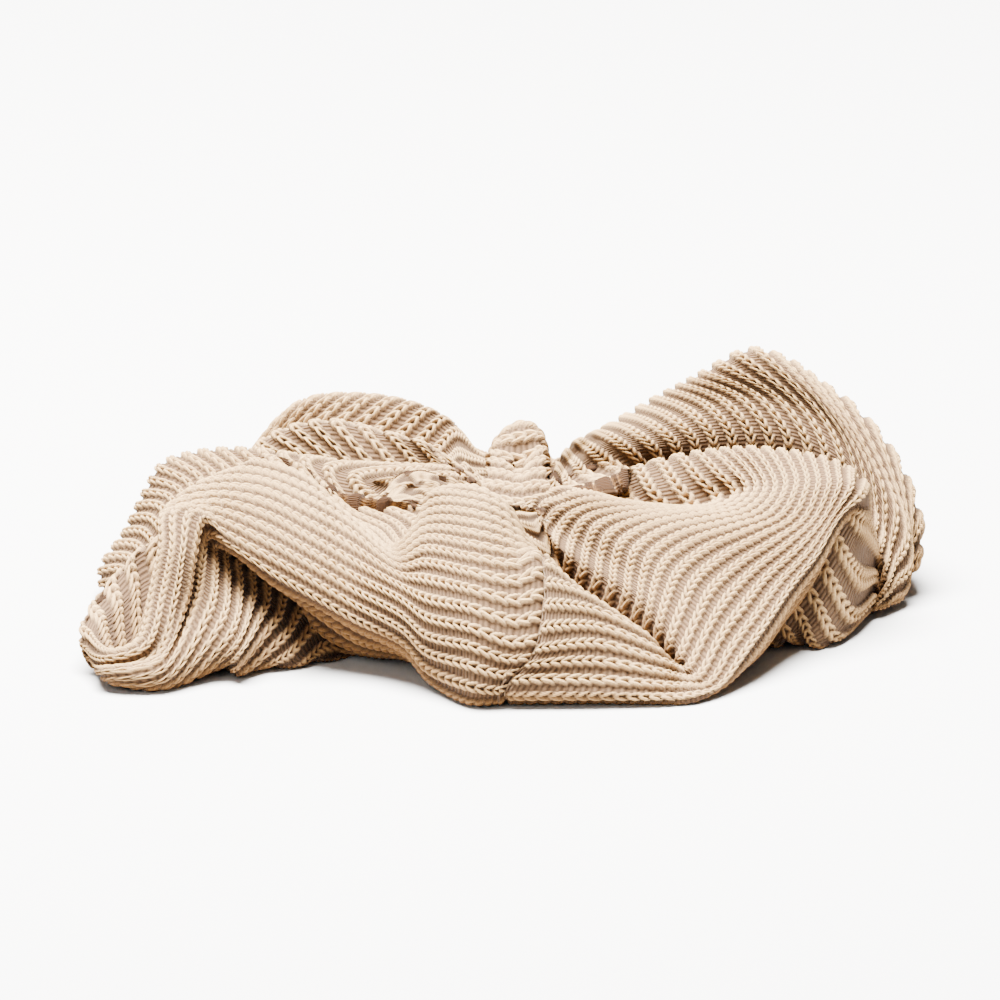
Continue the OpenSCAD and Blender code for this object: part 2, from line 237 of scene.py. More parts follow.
      (-48, 13.5, 21.9, 9.8), (-55, 14, 21.5, 12), (-64.4, 9, 17.2, 16.8), (-69.5, 3, 11, 20),
      (-73.5, -3, 5.5, 23), (-72, -5, 1, 24.5)],
     [(-62, -2, 0.5), (-41, 2, 1), (-21, 5, 3)]),
    ([(-15, 6, 15.5), (-28, 3.5, 14, 4.5), (-38, 3.5, 14.5, 7), (-50, 4, 14.5, 11), (-60, -0.5, 12, 15),
      (-67, -7, 8, 19.5), (-71, -12, 4.5, 22.5), (-70, -14, 1, 24)],
     [(-61, -8, 0.5), (-42, -2, 1), (-22, 3, 3)]),
    # scoop at the front left: far wall of its pocket, then round its bottom
    ([(-15.5, 4, 16), (-30, -0.5, 17), (-44, -4, 17.5, 8), (-57, -9, 18, 10), (-67.2, -15, 16.6, 11.5),
      (-72, -20, 13.3, 12.8), (-76.8, -30, 10.3, 14), (-79, -41, 7.3, 15.5), (-78, -45, 3.5, 18),
      (-75, -41, 1, 20)],
     [(-62, -27, 0.5), (-42, -10, 1), (-22, 0, 3)]),
    ([(-15.5, 3, 15.5), (-30, -3, 15), (-46, -11, 14, 8), (-59, -18, 13, 10), (-67.6, -22, 11.8, 11.5),
      (-70.5, -27, 10.3, 12.3), (-73.3, -33, 9.1, 13.2), (-76, -40.5, 8.8, 14), (-78, -47, 7.8, 14.8),
      (-79, -50, 5, 16), (-77, -50, 1.2, 18.5)],
     [(-64, -36, 0.5), (-43, -16, 1), (-22, -2, 3)]),
    ([(-15, 2, 15), (-33, -8, 12), (-50, -19, 9), (-62, -30, 6), (-68.5, -38, 4, 12), (-71, -43, 3.2, 12.8),
      (-73, -48.5, 3.6, 13.7), (-74.6, -54.5, 6.6, 14.9), (-75.3, -57.7, 6.2, 15.8),
      (-75.4, -58.6, 4.9, 16.6), (-76.2, -61, 4.7, 17.6), (-75.5, -61.7, 3, 18.8), (-74, -60, 1.2, 20.5)],
     [(-62, -46, 0.5), (-43, -24, 1), (-22, -5, 3)]),
    ([(-14.5, 0, 15), (-33, -10, 12), (-49, -20, 9.5), (-60, -31, 6.5), (-65, -39, 4.5, 12.1),
      (-68, -45, 4, 13.1), (-69.7, -50.2, 7.4, 14.2), (-68.4, -54.5, 8.8, 15.4), (-67, -56.5, 7.8, 16.3),
      (-65.8, -56.3, 6.5, 17), (-65, -59, 6.3, 18), (-64, -61.2, 5, 19), (-63.2, -62, 3.2, 20.2),
      (-62, -60, 1.2, 21.5)],
     [(-54, -46, 0.5), (-38, -24, 1), (-21, -7, 3)]),
    # the fold's near arm, the crease beside it and the shaded side below the band
    ([(-14.5, -1, 16), (-31, -9, 16), (-47, -17, 13.5), (-58, -27, 9.5, 11), (-64, -35, 8, 12.7),
      (-66.6, -40.5, 10.8, 13.6), (-67.2, -44.5, 15.2, 14.7), (-64.8, -47, 15.8, 16),
      (-62.3, -48.5, 15.3, 17), (-60.4, -48, 14.3, 18), (-59.3, -44.5, 12.3, 18.7),
      (-57.7, -46, 13.2, 19.4), (-55.2, -47.6, 11.7, 20.3), (-53, -49.5, 10.5, 21.3), (-51, -51.5, 9, 22.3),
      (-50, -54, 7.1, 23.5), (-50, -56, 4.7, 24.7), (-50.5, -54, 1.6, 25.7)],
     [(-46, -46, 0.5), (-33, -26, 1), (-20, -9, 3)]),
    ([(-14.3, -2, 17), (-31, -8, 18), (-47, -14, 19, 9), (-57.5, -21, 18, 11.5), (-63.3, -28, 17.5, 13.2),
      (-65.4, -34, 20.6, 14.2), (-65, -38.5, 22.4, 15), (-63, -41, 22.8, 16), (-61, -43, 22.4, 17),
      (-59, -43, 21.2, 18), (-57.8, -39, 18.5, 18.7), (-56.3, -39, 18.6, 19.4), (-53.5, -38.5, 16.8, 20.5),
      (-50.1, -38.5, 14.6, 22), (-46.7, -39.5, 12.2, 23.4), (-43.4, -41, 9.3, 24.9), (-41, -44, 5.6, 26.3),
      (-40, -47, 1.6, 27.6)],
     [(-36, -41, 0.5), (-28, -26, 1), (-18, -11, 3)]),
    # ridge above the scoop
    ([(-14, -3, 18.5), (-31, -5.5, 22, 6), (-47, -9, 26.5, 9), (-57, -16, 27.6, 11.5),
      (-62.5, -23, 27, 13.3), (-64.8, -29, 26.3, 14.6), (-62.3, -32.5, 28, 16), (-59.6, -35, 28.2, 17),
      (-57.1, -37.3, 27.5, 18), (-56.4, -35.5, 24.2, 18.8), (-54.9, -34, 21.1, 19.8),
      (-51, -33, 18.3, 21.8), (-46, -33, 14.7, 23.6), (-40.6, -33.5, 11.1, 25.3), (-35.8, -36.5, 6.3, 27),
      (-33, -42, 1.2, 28.6)],
     [(-30, -36, 0.5), (-24, -24, 1), (-16, -12, 3)]),
    # the band that comes down from it to the seam, with its lower edge and the belly under it
    ([(-13.6, -4, 19), (-30, -3.5, 22.5, 6), (-45, -6, 29.6, 9.3), (-52.4, -14, 30.3, 11),
      (-54.9, -20.5, 29.6, 12.7), (-55.2, -26, 28.9, 14.3), (-54.3, -31, 27.9, 15.8),
      (-53.5, -36, 26.3, 17.3), (-52.8, -39.2, 24.1, 18.6), (-51.8, -39.8, 22, 19.6)],
     [(-48, -30.5, 16.7, 21.6), (-42, -30.5, 12.2, 23.6), (-36, -33, 7.9, 25.4), (-31, -38, 4, 27),
      (-28, -36, 0.8, 28.5), (-22, -24, 1), (-15, -13, 3)]),
    ([(-13.2, -5, 19.5), (-28, -3, 20.3, 5.5), (-39, -3, 28.4, 8), (-45.9, -8, 31.2, 9.5),
      (-46, -14, 30.4, 11), (-45.9, -20.5, 29.6, 12.5), (-45.5, -27, 28.1, 14), (-45.1, -33, 25.9, 15.6),
      (-44.9, -39, 23.1, 17.2), (-44.4, -42.8, 20.3, 18.5), (-43.9, -44.8, 17.4, 19.6),
      (-42.8, -42, 15, 20.5)],
     [(-39.5, -33, 10.9, 22.2), (-35, -32.5, 7, 23.8), (-30, -37, 4, 25.4), (-27, -35, 0.8, 27),
      (-20, -24, 1), (-14, -14, 3)]),
    ([(-12.5, -7, 19.5), (-22, -5, 21.5, 4.2), (-28, -7.5, 20.9, 6.5), (-33.6, -10.5, 22.5, 8.7),
      (-36.8, -13.5, 28.6, 9.8), (-36.8, -20, 28.2, 11.2), (-36.6, -28, 26.5, 13), (-36.5, -35, 24.1, 14.7),
      (-36.3, -41, 21.3, 16.3), (-36, -45.8, 18, 17.9), (-35.8, -48.8, 14, 19.5)],
     [(-35.6, -44, 12, 20.4), (-35.2, -39, 7.6, 21.5), (-34.6, -38, 4.1, 22.5), (-32.5, -38, 1.8, 23.6),
      (-28, -33, 0.8, 25), (-19, -24, 1), (-13, -15, 3)]),
    ([(-11.5, -9, 19.5), (-19, -13, 20.5, 5.3), (-24, -17, 19.5, 8), (-27.7, -20.5, 21.3, 10),
      (-29.1, -24, 24.2, 11), (-29, -30, 23.8, 12.6), (-28.7, -37.3, 21.3, 14.3),
      (-28.5, -43.3, 18.4, 15.9), (-28.3, -48.3, 14.9, 17.6), (-28, -51.3, 10.8, 19.3)],
     [(-27.8, -47.5, 8, 20.3), (-27.5, -45, 4.6, 21.4), (-26.5, -40, 1.2, 22.8), (-18, -27, 1),
      (-11, -17, 3)]),
    ([(-10, -11, 19.5), (-14, -20, 19.8, 5), (-18, -26, 19.4, 6.6), (-20.6, -31.5, 20.6, 8.4),
      (-20.6, -37, 21.1, 10.4), (-20.4, -42, 20.8, 12.3), (-20.2, -47, 19.6, 14), (-20, -51.8, 17.6, 15.5),
      (-19.7, -56, 14.2, 17), (-19.4, -58, 10, 18.6), (-19.2, -56, 7, 19.8)],
     [(-18.8, -50, 4, 21), (-17.5, -42, 0.8, 22.8), (-12, -30, 1.5), (-8, -19, 3)]),
    # left end of the dome over the front panel
    ([(-8, -13, 21), (-12, -18, 26.5, 3.7), (-13.9, -22.5, 28.3, 5.6), (-14.3, -28.5, 27.3, 7.4),
      (-14.5, -36, 26, 9.6), (-14.5, -44.5, 24.3, 11.8), (-14.5, -51.2, 21.2, 13.6),
      (-14.5, -57.3, 16.8, 15.2), (-14.5, -61.5, 12, 16.8), (-14.5, -63, 7.2, 18.4),
      (-14.2, -61, 2.4, 19.8)],
     [(-13, -57, 0.8, 21), (-9, -40, 1), (-5, -22, 3)]),
    ([(-2.5, -14, 24), (-6, -19.5, 29, 4.2), (-6.3, -29, 29.2, 6.5), (-6.3, -37, 28.1, 8.4),
      (-6.3, -45, 26.3, 10.4), (-6.3, -52.7, 23.5, 12.4), (-6.3, -59.8, 19.5, 14.2), (-6.3, -66, 14.3, 16),
      (-6.5, -70.7, 8.3, 18), (-6.8, -72.5, 4), (-7, -71.2, 1, 20)],
     [(-5, -60, 0.5), (-2, -35, 2)]),
    # right end of the dome
    ([(0.5, -16, 23.5), (0.8, -25, 26.6), (1.3, -35, 25.6), (1.8, -44, 24.5), (2.2, -51.5, 22.9, 12),
      (2.4, -57.5, 19.7), (2.2, -63, 15.7), (1.4, -68, 11.2, 16.2), (0.2, -70.8, 7.5), (-0.8, -73, 3.5),
      (-1, -71.5, 1, 20)],
     [(-0.5, -60, 0.5), (1, -35, 2)]),
]


# ---------------------------------------------------------------- curves
def catmull(points, at):
    """Points on a closed Catmull-Rom curve through points, at fractional positions."""
    n = len(points)
    i = np.floor(at).astype(int)
    t = (at - i).reshape((-1,) + (1,) * (points.ndim - 1))
    p0, p1, p2, p3 = (points[(i + k) % n] for k in (-1, 0, 1, 2))
    return 0.5 * (2 * p1 + (p2 - p0) * t + (2 * p0 - 5 * p1 + 4 * p2 - p3) * t ** 2
                  + (3 * p1 - p0 - 3 * p2 + p3) * t ** 3)


def smooth_loop(points, ribs, count, per_span=24, samples=400, rounds=12):
    """A smooth closed curve through given points, resampled to count equal steps of rib number.

    ribs[i] is the rib at point i, or None where it follows from its neighbours."""
    n = len(points)
    spans = np.linalg.norm(np.roll(points, -1, axis=0) - points, axis=1)
    dense = []
    t = np.linspace(0, 1, per_span, endpoint=False)[:, None]
    for i in range(n):
        p0, p1, p2, p3 = (points[(i + k) % n] for k in (-1, 0, 1, 2))
        d0, d1, d2 = (max(spans[(i + k) % n], 1e-6) ** 0.5 for k in (-1, 0, 1))
        m1 = (p1 - p0) / d0 - (p2 - p0) / (d0 + d1) + (p2 - p1) / d1
        m2 = (p2 - p1) / d1 - (p3 - p1) / (d1 + d2) + (p3 - p2) / d2
        m1, m2 = m1 * d1, m2 * d1
        dense.append((2 * t ** 3 - 3 * t ** 2 + 1) * p1 + (t ** 3 - 2 * t ** 2 + t) * m1
                     + (3 * t ** 2 - 2 * t ** 3) * p2 + (t ** 3 - t ** 2) * m2)
    dense.append(points[:1])
    curve = np.concatenate(dense)
    run = np.concatenate([[0], np.cumsum(np.linalg.norm(np.diff(curve, axis=0), axis=1))])
    placed = [(i * per_span, r) for i, r in enumerate(ribs) if r is not None and i]
    known = [(0, 0.0)] + placed + [(n * per_span, RIBS)]
    rib_at = np.interp(run, [run[i] for i, _ in known], [r for _, r in known])
    # soften the changes of spacing at the known points
    even_run = np.linspace(0, run[-1], samples)
    rib_even = np.interp(even_run, run, rib_at)
    ease = rib_even - RIBS * even_run / run[-1]
    for _ in range(rounds):
        ease[1:-1] = 0.25 * ease[:-2] + 0.5 * ease[1:-1] + 0.25 * ease[2:]
    rib_even = ease + RIBS * even_run / run[-1]
    at = np.interp(np.arange(count) / count * RIBS, rib_even, even_run)
    return np.stack([np.interp(at, run, curve[:, k]) for k in range(3)], axis=1)


def hub_points(angle):
    """The tube's inner wall at one place on the hub: its bottom, its middle, the gathered lip over the hole
    and the fabric that lies over the elastic. At the back the lip reaches over the hole as a low flap."""
    c, s = math.cos(angle), math.sin(angle)
    front, back = max(0.0, -s) ** 8, max(0.0, s) ** 4
    lip_r = LIP_R + (HUB_R - LIP_R) * front - (LIP_R - FLAP_R) * back
    wall = ((HUB_R + WALL_SWELL, HUB_BOTTOM), (HUB_R - WALL_SWELL, (HUB_TOP + HUB_BOTTOM) / 2),
            (lip_r, HUB_TOP - FLAP_DROP * back), (OVER_R, OVER_Z))
    return [(HUB_X + r * c, HUB_Y + r * s, z) for r, z in wall]


def from_hub(point):
    """How far a point is from the hub's axis."""
    return math.hypot(point[0] - HUB_X, point[1] - HUB_Y)


def station_loops(angles):
    """A closed section of the tube for each line in ACROSS, joined to the hub.

    Points that would run into the elastic are left out, and the fabric passes over it instead."""
    loops = []
    for (top, under), angle in zip(ACROSS, angles):
        bottom, middle, lip, over = hub_points(angle)
        top = [p for p in top if from_hub(p) > NEAR_R or p[2] > LOW_Z or from_hub(p) < HOLE_R]
        over = [over] if from_hub(top[0]) > NEAR_R else []
        line = [middle, lip] + over + top + under + [bottom]
        ribs = [p[3] if len(p) > 3 else None for p in line]
        loops.append(smooth_loop(np.array([p[:3] for p in line], float), ribs, COARSE_ROUND))
    return np.array(loops)


def coarse_cover():
    """The cover's shape on a grid: along the tube by round it, with how far along each line lies.

    A line's place on the hub depends on its distance along the tube, so the two are settled in turns."""
    n = len(ACROSS)
    angles = -math.pi / 2 + 2 * math.pi * np.arange(n) / n
    outer = slice(COARSE_ROUND // 5, COARSE_ROUND * 4 // 5)
    for _ in range(3):
        loops = station_loops(angles)
        gaps = np.linalg.norm(np.roll(loops, -1, axis=0) - loops, axis=2)[:, outer].mean(axis=1)
        place = np.concatenate([[0], np.cumsum(gaps)])
        length = place[-1]
        angles = -math.pi / 2 + 2 * math.pi * place[:-1] / length
    even = np.arange(COARSE_ALONG) / COARSE_ALONG * length
    at = np.interp(even, place, np.arange(n + 1))
    return catmull(loops, at), place


# ---------------------------------------------------------------- knit
def fine_grid(coarse, rows, columns):
    """The coarse surface, resampled smoothly to rows by columns."""
    along = catmull(coarse, np.arange(rows) / rows * len(coarse))
    turned = catmull(along.transpose(1, 0, 2), np.arange(columns) / columns * coarse.shape[1])
    return turned.transpose(1, 0, 2)


def normals_of(grid):
    """Unit normals of a grid that closes on itself both ways. They point into the tube."""
    du = np.roll(grid, -1, axis=0) - np.roll(grid, 1, axis=0)
    dv = np.roll(grid, -1, axis=1) - np.roll(grid, 1, axis=1)
    n = np.cross(du, dv)
    return n / np.maximum(np.linalg.norm(n, axis=2, keepdims=True), 1e-9)


def knit_relief(across, along):
    """Height of the 1x1 rib in millimetres. across is in ribs, along in stitches."""
    from_middle = np.abs((across % 1.0) - 0.5)
    # ladder between two knit columns: one bar to a stitch, with a gap beside it
    bar = np.abs(np.sin(math.pi * along)) ** 0.7
    height = LADDER_LOW + BAR_HEIGHT * bar
    # knit column: two rows of slanting legs that meet in a V at its middle
    for k in (0, 1):
        f = (along % 1.0) + k
        t = np.clip(f / LEG_REACH, 0, 1)
        middle = LEG_START + LEG_SLOPE * f
        d = (from_middle - middle) / (LEG_HALF * np.sqrt(np.sin(math.pi * (0.2 + 0.66 * t))))
        tuck_in = LEG_TUCK_IN * np.maximum(0, 1 - t / 0.3) ** 2
        tuck_out = LEG_TUCK_OUT * np.maximum(0, (t - 0.45) / 0.55) ** 1.6
        leg = LEG_LIFT - tuck_in - tuck_out + LEG_ROUND * np.sqrt(np.maximum(0, 1 - d ** 2))
        height = np.where((f <= LEG_REACH) & (np.abs(d) < 1), np.maximum(height, leg), height)
    return height


def rib_profile(across):
    """The height of the ribs alone, without their stitches, in millimetres."""
    beside = np.clip((np.abs((across % 1.0) - 0.5) - RIB_EDGE) / RIB_SLOPE, 0, 1)
    return RIB_TOP - RIB_FALL * beside * beside * (3 - 2 * beside)


def gather(coarse):
    """Puts the small pleats of the gathered hub into the coarse surface."""
    x, y, z = coarse[..., 0] - HUB_X, coarse[..., 1] - HUB_Y, coarse[..., 2]
    r = np.hypot(x, y)
    near = np.clip((PLEAT_START - r) / PLEAT_FADE, 0, 1) ** 1.5 * (0.6 + 0.4 * np.clip(z / HUB_TOP, 0, 1))
    k = np.arange(len(coarse))[:, None]
    wave = np.sin(2 * math.pi * PLEATS * k / len(coarse) + 1.3 * np.sin(k * 0.21))
    return coarse + normals_of(coarse) * (PLEAT_DEPTH * near * wave)[..., None]


def surface_tree(grid):
    """A search tree over a grid that closes on itself both ways."""
    n, m = grid.shape[:2]
    i, j = np.meshgrid(np.arange(n), np.arange(m), indexing="ij")
    a, b = i * m + j, i * m + (j + 1) % m
    c, d = (i + 1) % n * m + (j + 1) % m, (i + 1) % n * m + j
    faces = np.stack([a, b, c, d], -1).reshape(-1, 4)
    return BVHTree.FromPolygons(grid.reshape(-1, 3).tolist(), faces.tolist())


def shelter(coarse):
    """How much light reaches the coarse surface, at each second point: steep upward rays that meet no
    fabric count most, and downward ones least."""
    tree = surface_tree(coarse)
    normal = -normals_of(coarse)[::2, ::2].reshape(-1, 3)
    place = coarse[::2, ::2].reshape(-1, 3) + RAY_START * normal
    side = np.cross(normal, np.where(np.abs(normal[:, 2:]) < 0.9, [[0, 0, 1]], [[1, 0, 0]]))
    side /= np.linalg.norm(side, axis=1, keepdims=True)
    other = np.cross(normal, side)
    seen = np.zeros(len(place))
    for k in range(RAYS):
        r = math.sqrt((k + 0.5) / RAYS)
        turn = GOLDEN_TURN * k
        way = r * math.cos(turn) * side + r * math.sin(turn) * other + math.sqrt(1 - r * r) * normal
        for at, (p, w) in enumerate(zip(place.tolist(), way.tolist())):
            hit = tree.ray_cast(p, w, RAY_REACH)[3]
            bright = SIDE_LIGHT + (1 - SIDE_LIGHT) * w[2] if w[2] > 0 else LOW_LIGHT
            seen[at] += bright if hit is None else CLOSE_LIGHT * bright * hit / RAY_REACH
    seen = (seen / RAYS).reshape(coarse[::2, ::2].shape[:2])
    beside = np.roll(seen, 1, 0) + np.roll(seen, -1, 0) + np.roll(seen, 1, 1) + np.roll(seen, -1, 1)
    return 0.5 * seen + 0.125 * beside


def cover_grids():
    """The whole cover as grids, rows along the tube and columns round it, in a dictionary:
    place, knit_height, open_sky, across (in ribs) and along (in stitches), with the number of stitches, how
    far along each line of ACROSS lies, and the path of the closing seam."""
    coarse, line_place = coarse_cover()
    coarse = gather(coarse)
    stitches = round(line_place[-1] / STITCH)
    rows, columns = stitches * ROWS_PER_STITCH, RIBS * POINTS_PER_RIB
    base = fine_grid(coarse, rows, columns)
    # open_sky is the baked shelter from the light, painted into the knit's colour as shade
    open_sky = np.clip(fine_grid(shelter(coarse)[..., None], rows, columns)[..., 0], 0, 1)
    normal = -normals_of(base)
    along = (np.arange(rows) / ROWS_PER_STITCH)[:, None].repeat(columns, 1)
    across = (np.arange(columns) / POINTS_PER_RIB)[None, :] + 0.5 * along / stitches
    height = knit_relief(across, along)
    rib = rib_profile(across)
    from_seam = np.minimum(along, stitches - along)
    groove = np.exp(-(from_seam / GROOVE_WIDTH) ** 2)
    # where the knit is gathered tight its relief is finer
    pitch = np.linalg.norm(np.roll(base, -1, 0) - base, axis=2) * ROWS_PER_STITCH
    breadth = np.linalg.norm(np.roll(base, -1, 1) - base, axis=2) * POINTS_PER_RIB
    rib_scale = np.clip(RELIEF_GAIN * breadth / FULL_BREADTH, LEAST_RELIEF, 1)
    scale = np.minimum(rib_scale, np.clip(RELIEF_GAIN * pitch / STITCH, LEAST_RELIEF, 1))
    relief = rib_scale * (rib + RELIEF_MIDDLE) + scale * (height - rib) - RELIEF_MIDDLE
    place = base + normal * (relief - GROOVE_DEPTH * groove)[..., None]
    place[..., 2] = np.maximum(place[..., 2], FLOOR_GAP + FLOOR_RELIEF * height)
    # painted shade: knit_height sets the knit's colour, so low relief and the closing seam's groove come out
    # darker
    knit_height = (height - LOWEST) / HEIGHT_RANGE - SEAM_SHADE * groove
    seam_path = (base - SEAM_DEPTH * normal)[0]
    return {"place": place, "knit_height": knit_height, "open_sky": open_sky, "across": across,
            "along": along, "stitches": stitches, "line_place": line_place, "seam_path": seam_path}


# ---------------------------------------------------------------- meshes
def grid_mesh(name, points, uv, attributes):
    """A mesh over a grid that is closed round its second axis."""
    rows, columns = points.shape[:2]
    mesh = bpy.data.meshes.new(name)
    r, c = np.meshgrid(np.arange(rows - 1), np.arange(columns), indexing="ij")
    a, b = r * columns + c, r * columns + (c + 1) % columns
    quads = np.stack([a, b, b + columns, a + columns], axis=-1).reshape(-1, 4)
    mesh.vertices.add(rows * columns)
    mesh.vertices.foreach_set("co", (points * MM).astype(np.float32).ravel())
    mesh.loops.add(quads.size)
    mesh.loops.foreach_set("vertex_index", quads.astype(np.int32).ravel())
    mesh.polygons.add(len(quads))
    mesh.polygons.foreach_set("loop_start", np.arange(0, quads.size, 4, dtype=np.int32))
    mesh.polygons.foreach_set("use_smooth", np.ones(len(quads), bool))
    mesh.update(calc_edges=True)
    layer = mesh.uv_layers.new(name="Ribs")
    u, v = uv
    corner_u = np.stack([u[r, c], u[r, c], u[r + 1, c], u[r + 1, c]], axis=-1)
    next_v = v[r, c] + (v[0, 1] - v[0, 0])
    corner_v = np.stack([v[r, c], next_v, next_v, v[r, c]], axis=-1)
    layer.data.foreach_set("uv", np.stack([corner_u, corner_v], -1).astype(np.float32).ravel())
    for key, values in attributes.items():
        layer = mesh.attributes.new(key, "FLOAT", "POINT")
        layer.data.foreach_set("value", values.astype(np.float32).ravel())
    mesh.validate()
    return mesh


def new_object(name, mesh, material):
    obj = bpy.data.objects.new(name, mesh)
    bpy.context.scene.collection.objects.link(obj)
    mesh.materials.append(material)
    return obj


# ---------------------------------------------------------------- materials
# painted shade: the yarn's colour by the height of its relief, darkest in the gaps between the stitches; the
# brightest is the yarn's own colour
YARN_GAP_SHADED = (0.10, 0.055, 0.028, 1)
YARN_LOW_SHADED = (0.135, 0.083, 0.045, 1)
YARN_MIDDLE_SHADED = (0.23, 0.143, 0.072, 1)
YARN_TOP = (0.59, 0.378, 0.168, 1)
# painted shade: the yarn's colour is multiplied down towards this where folds shelter it, and on sides and
# undersides away from the light above
SHELTER_SHADE_COLOUR = (0.31, 0.23, 0.16, 1)
# the yarn's brightness and its bump: how much its plies, its fuzz and the painted shade in the gaps between
# bars count
BASE_SHADE, PLY_SHADE, FUZZ_SHADE, GAP_SHADE = 0.655, 0.11, 0.7, 0.16
PLY_BUMP, FUZZ_BUMP, YARN_BUMP = 0.5, 2.4, 0.00014
BAR_PLY, BAR_GAP = 2.2, -0.9
FUZZ_SCALE = 2600.0
# the thread's own colour darkened to dark brown: painted shade along the closing seam
SHADED_THREAD_COLOUR = (0.15, 0.092, 0.05)
ELASTIC_COLOUR = (0.72, 0.66, 0.55)


def node_tree(name):
    material = bpy.data.materials.new(name)
    material.use_nodes = True
    tree = material.node_tree
    tree.nodes.clear()
    out = tree.nodes.new("ShaderNodeOutputMaterial")
    shader = tree.nodes.new("ShaderNodeBsdfPrincipled")
    tree.links.new(shader.outputs[0], out.inputs[0])
    return material, tree, shader


def add(tree, kind, inputs=None, **settings):
    node = tree.nodes.new(kind)
    for key, value in settings.items():
        setattr(node, key, value)
    for key, value in (inputs or {}).items():
        if isinstance(value, bpy.types.NodeSocket):
            tree.links.new(value, node.inputs[key])
        else:
            node.inputs[key].default_value = value
    return node


def math_node(tree, operation, a, b=0.0):
    return add(tree, "ShaderNodeMath", {0: a, 1: b}, operation=operation).outputs[0]


def product(tree, a, b):
    return math_node(tree, "MULTIPLY", a, b)


def tint(tree, colour, by):
    return add(tree, "ShaderNodeVectorMath", {0: colour, 1: by}, operation="MULTIPLY").outputs[0]


def attribute(tree, name):
    return add(tree, "ShaderNodeAttribute", attribute_name=name).outputs["Fac"]


def yarn_plies(tree):
    """The plies of the yarn along each leg and bar of the ladder, and the bars' gaps, which get painted
    shade.
    """
    uv = add(tree, "ShaderNodeUVMap", uv_map="Ribs")
    split = add(tree, "ShaderNodeSeparateXYZ", {0: uv.outputs[0]})
    along, across = split.outputs[0], split.outputs[1]
    side = math_node(tree, "ABSOLUTE", math_node(tree, "SUBTRACT", math_node(tree, "FRACT", across), 0.5))
    leg_phase = math_node(tree, "SUBTRACT", math_node(tree, "DIVIDE", side, LEG_SLOPE), along)
    on_leg = math_node(tree, "SINE", product(tree, leg_phase, 6 * math.pi))
    on_bar = product(tree, math_node(tree, "SINE", product(tree, along, 4 * math.pi)), BAR_PLY)
    bars = math_node(tree, "GREATER_THAN", side, BAR_START)
    ply = add(tree, "ShaderNodeMix", {0: bars, 2: on_leg, 3: on_bar}).outputs[0]
    return ply, product(tree, bars, math_node(tree, "LESS_THAN", on_bar, BAR_GAP))


def knit_material():
    """Cream yarn with plies and fuzz, with painted shade low in the knit, between bars and under folds."""
    material, tree, shader = node_tree("rib_knit")
    # painted shade: the lower the knit lies, the darker its colour
    ramp = add(tree, "ShaderNodeValToRGB", {0: attribute(tree, "knit_height")})
    for element, at, colour in zip(ramp.color_ramp.elements, (0.0, 1.0), (YARN_GAP_SHADED, YARN_TOP)):
        element.position, element.color = at, colour
    for at, colour in ((0.22, YARN_LOW_SHADED), (0.5, YARN_MIDDLE_SHADED)):
        ramp.color_ramp.elements.new(at).color = colour
    ply, gap = yarn_plies(tree)
    place = add(tree, "ShaderNodeTexCoord").outputs["Object"]
    fuzz = add(tree, "ShaderNodeTexNoise",
               {"Vector": place, "Scale": FUZZ_SCALE, "Detail": 4.0, "Roughness": 0.75}).outputs[0]
    surface = math_node(tree, "ADD", product(tree, ply, PLY_BUMP), product(tree, fuzz, FUZZ_BUMP))
    bump = add(tree, "ShaderNodeBump", {"Height": surface, "Strength": 0.7, "Distance": YARN_BUMP})
    tree.links.new(bump.outputs[0], shader.inputs["Normal"])
    shade = math_node(tree, "ADD", product(tree, ply, PLY_SHADE), product(tree, fuzz, FUZZ_SHADE))
    # painted shade in the gaps between the bars of the ladder
    shade = math_node(tree, "SUBTRACT", shade, product(tree, gap, GAP_SHADE))
    shade = math_node(tree, "ADD", shade, BASE_SHADE)
    # painted shade: darker where folds shelter the surface from the light above, and on sides and undersides
    openness = add(tree, "ShaderNodeMapRange", {0: attribute(tree, "open_sky"), 1: 0.15, 2: 0.62}).outputs[0]
    shelter_shade = add(tree, "ShaderNodeMix", {0: openness, 6: SHELTER_SHADE_COLOUR, 7: (1, 1, 1, 1)}, data_type="RGBA")
    colour = tint(tree, tint(tree, ramp.outputs[0], shade), shelter_shade.outputs[2])
    tree.links.new(colour, shader.inputs["Base Color"])
    shader.inputs["Roughness"].default_value = 0.95
    shader.inputs["Specular IOR Level"].default_value = 0.1
    shader.inputs["Sheen Weight"].default_value = 0.05
    shader.inputs["Sheen Roughness"].default_value = 0.5
    shader.inputs["Sheen Tint"].default_value = (1.0, 0.9, 0.78, 1)
    return material


def plain_material(name, colour, roughness, grain):
    """Yarn or braid seen close up: one colour with a fine grain."""
    material, tree, shader = node_tree(name)
    place = add(tree, "ShaderNodeTexCoord").outputs["Object"]
    noise = add(tree, "ShaderNodeTexNoise", {"Vector": place, "Scale": 1 / grain, "Detail": 2.0}).outputs[0]
    bump = add(tree, "ShaderNodeBump", {"Height": noise, "Strength": 0.4, "Distance": 0.0001})
    tree.links.new(bump.outputs[0], shader.inputs["Normal"])
    shader.inputs["Base Color"].default_value = (*colour, 1)
    shader.inputs["Roughness"].default_value = roughness
    shader.inputs["Specular IOR Level"].default_value = 0.2
    return material


def floor_material():
    """Matt pale grey."""
    material, _, shader = node_tree("floor")
    shader.inputs["Base Color"].default_value = (0.62, 0.62, 0.62, 1)
    shader.inputs["Roughness"].default_value = 0.9
    return material


